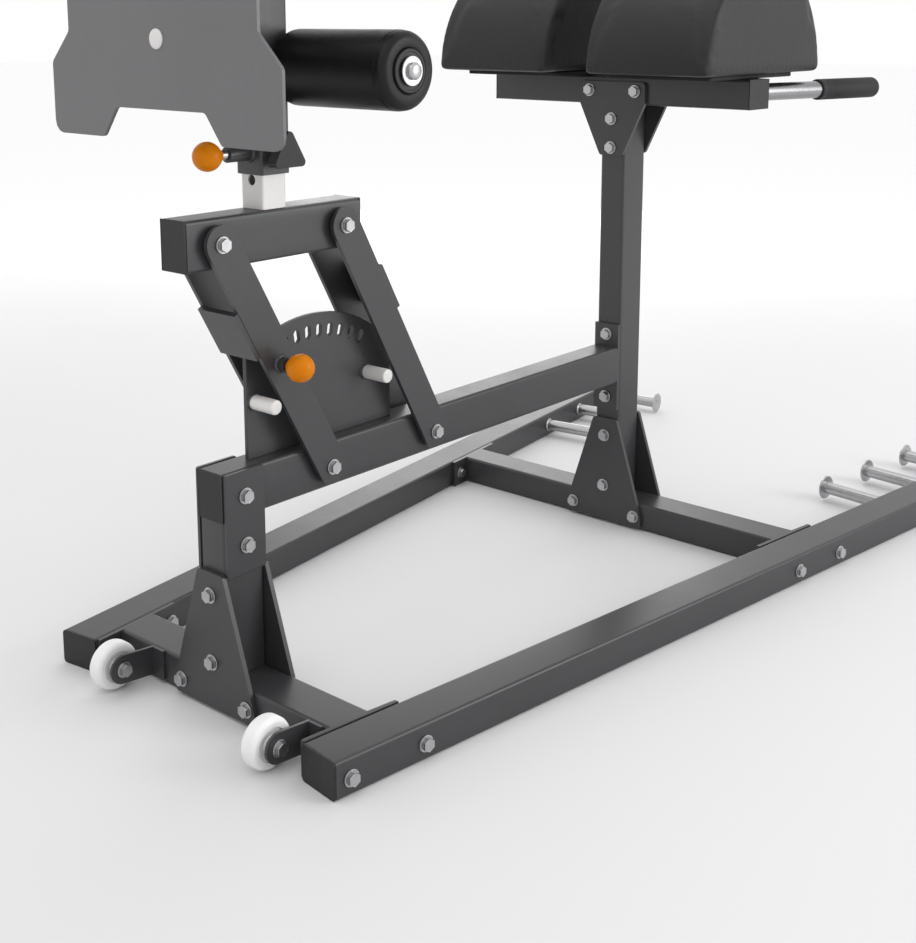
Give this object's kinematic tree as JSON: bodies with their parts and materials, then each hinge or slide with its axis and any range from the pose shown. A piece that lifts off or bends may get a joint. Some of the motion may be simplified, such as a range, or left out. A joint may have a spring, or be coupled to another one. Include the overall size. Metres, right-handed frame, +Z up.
{
  "type": "roman chair",
  "caption": "Floor-standing roman chair: half-round hip pads on an upright, and a foot plate with ankle rollers on an indexed parallelogram linkage.",
  "frame": {"origin": "on the floor, under the centre of the machine's bounding box", "axes": "+Z up; +X to the rear, the end with the hip pads and handles; -Y is the side of the pull pins"},
  "size_m": [2.0916, 1.223, 1.351],
  "materials": {
    "frame_paint": "satin",
    "grey_plate": "satin",
    "light_post": "satin",
    "zinc_steel": "satin",
    "chrome_tube": "polished",
    "black_plastic": "matte",
    "grip_rubber": "matte",
    "roller_foam": "satin",
    "pad_vinyl": "satin",
    "pad_board": "matte",
    "orange_plastic": "gloss",
    "white_wheel": "satin"
  },
  "bodies": {
    "base": {"rail_near": "frame_paint", "rail_far": "frame_paint", "rail_cap_near_front": "black_plastic", "rail_cap_near_rear": "black_plastic", "rail_cap_far_front": "black_plastic", "rail_cap_far_rear": "black_plastic", "band_peg_near_1": "zinc_steel", "band_peg_near_2": "zinc_steel", "band_peg_near_3": "zinc_steel", "band_peg_far_1": "zinc_steel", "band_peg_far_2": "zinc_steel", "band_peg_far_3": "zinc_steel", "front_crossmember": "frame_paint", "rear_crossmember": "frame_paint", "front_upright": "frame_paint", "rear_upright": "frame_paint", "front_foot_gusset_ahead": "frame_paint", "front_foot_gusset_behind": "frame_paint", "rear_foot_gusset_ahead": "frame_paint", "rear_foot_gusset_behind": "frame_paint", "head_gusset_ahead": "frame_paint", "head_gusset_behind": "frame_paint", "saddle_plate_near": "frame_paint", "saddle_plate_far": "frame_paint", "main_beam": "frame_paint", "index_sector": "frame_paint", "pad_crossbar": "frame_paint", "pad_board_near": "pad_board", "pad_board_far": "pad_board", "hip_pad_near": "pad_vinyl", "hip_pad_far": "pad_vinyl", "handle_near": "chrome_tube", "handle_far": "chrome_tube", "grip_near": "grip_rubber", "grip_far": "grip_rubber", "wheel_bracket_near": "frame_paint", "wheel_bracket_far": "frame_paint", "pivot_bolt_front_lower": "zinc_steel", "pivot_bolt_rear_lower": "zinc_steel"},
    "front_arms": {"front_arms": "frame_paint"},
    "rear_arms": {"rear_arms": "frame_paint"},
    "arm_pin": {"arm_pin": "orange_plastic"},
    "head": {"top_bar": "frame_paint", "index_post": "light_post", "pivot_bolt_front_upper": "zinc_steel", "pivot_bolt_rear_upper": "zinc_steel"},
    "carriage": {"sleeve": "frame_paint", "foot_plate": "grey_plate", "foot_plate_bracket": "frame_paint", "roller_axle_lower": "zinc_steel", "roller_axle_upper": "zinc_steel"},
    "sleeve_pin": {"sleeve_pin": "orange_plastic"},
    "clamp_knob": {"clamp_knob": "black_plastic"},
    "roller_lower_near": {"roller_lower_near": "roller_foam"},
    "roller_lower_far": {"roller_lower_far": "roller_foam"},
    "roller_upper_near": {"roller_upper_near": "roller_foam"},
    "roller_upper_far": {"roller_upper_far": "roller_foam"},
    "wheel_near": {"wheel_near": "white_wheel"},
    "wheel_far": {"wheel_far": "white_wheel"}
  },
  "joints": [
    {"name": "front_arm_swing", "type": "hinge", "parent": "base", "child": "front_arms", "pos_m": [-0.7145, 0, 0.365], "axis": [0, 1, 0], "range_deg": [-3, 57.6]},
    {"name": "rear_arm_swing", "type": "hinge", "parent": "base", "child": "rear_arms", "pos_m": [-0.4513, 0, 0.365], "axis": [0, 1, 0], "range_deg": [-3, 57.6]},
    {"name": "head_level", "type": "hinge", "parent": "front_arms", "child": "head", "pos_m": [-0.93775, 0, 0.77108], "axis": [0, 1, 0], "range_deg": [-57.6, 3]},
    {"name": "carriage_slide", "type": "slide", "parent": "head", "child": "carriage", "axis": [0, 0, 1], "range_m": [-0.043, 0.172]},
    {"name": "arm_pin_pull", "type": "slide", "parent": "front_arms", "child": "arm_pin", "axis": [0, -1, 0], "range_m": [0, 0.012], "stiffness_N_per_m": 600, "springref_m": -0.01},
    {"name": "sleeve_pin_pull", "type": "slide", "parent": "carriage", "child": "sleeve_pin", "axis": [-1, 0, 0], "range_m": [0, 0.012], "stiffness_N_per_m": 600, "springref_m": -0.01},
    {"name": "clamp_knob_turn", "type": "hinge", "parent": "carriage", "child": "clamp_knob", "pos_m": [-0.8131, -0.0403, 0.9], "axis": [0, -1, 0], "range_deg": [-180, 180]},
    {"name": "roller_lower_near_spin", "type": "hinge", "parent": "carriage", "child": "roller_lower_near", "pos_m": [-0.7703, 0, 1.031], "axis": [0, 1, 0], "continuous": true},
    {"name": "roller_lower_far_spin", "type": "hinge", "parent": "carriage", "child": "roller_lower_far", "pos_m": [-0.7703, 0, 1.031], "axis": [0, 1, 0], "continuous": true},
    {"name": "roller_upper_near_spin", "type": "hinge", "parent": "carriage", "child": "roller_upper_near", "pos_m": [-0.7703, 0, 1.249], "axis": [0, 1, 0], "continuous": true},
    {"name": "roller_upper_far_spin", "type": "hinge", "parent": "carriage", "child": "roller_upper_far", "pos_m": [-0.7703, 0, 1.249], "axis": [0, 1, 0], "continuous": true},
    {"name": "wheel_near_spin", "type": "hinge", "parent": "base", "child": "wheel_near", "pos_m": [-1.0051, 0, 0.042], "axis": [0, 1, 0], "continuous": true},
    {"name": "wheel_far_spin", "type": "hinge", "parent": "base", "child": "wheel_far", "pos_m": [-1.0051, 0, 0.042], "axis": [0, 1, 0], "continuous": true}
  ],
  "couplings": [
    {"joint": "rear_arm_swing", "follows": "front_arm_swing", "ratio": 1},
    {"joint": "head_level", "follows": "front_arm_swing", "ratio": -1}
  ]
}
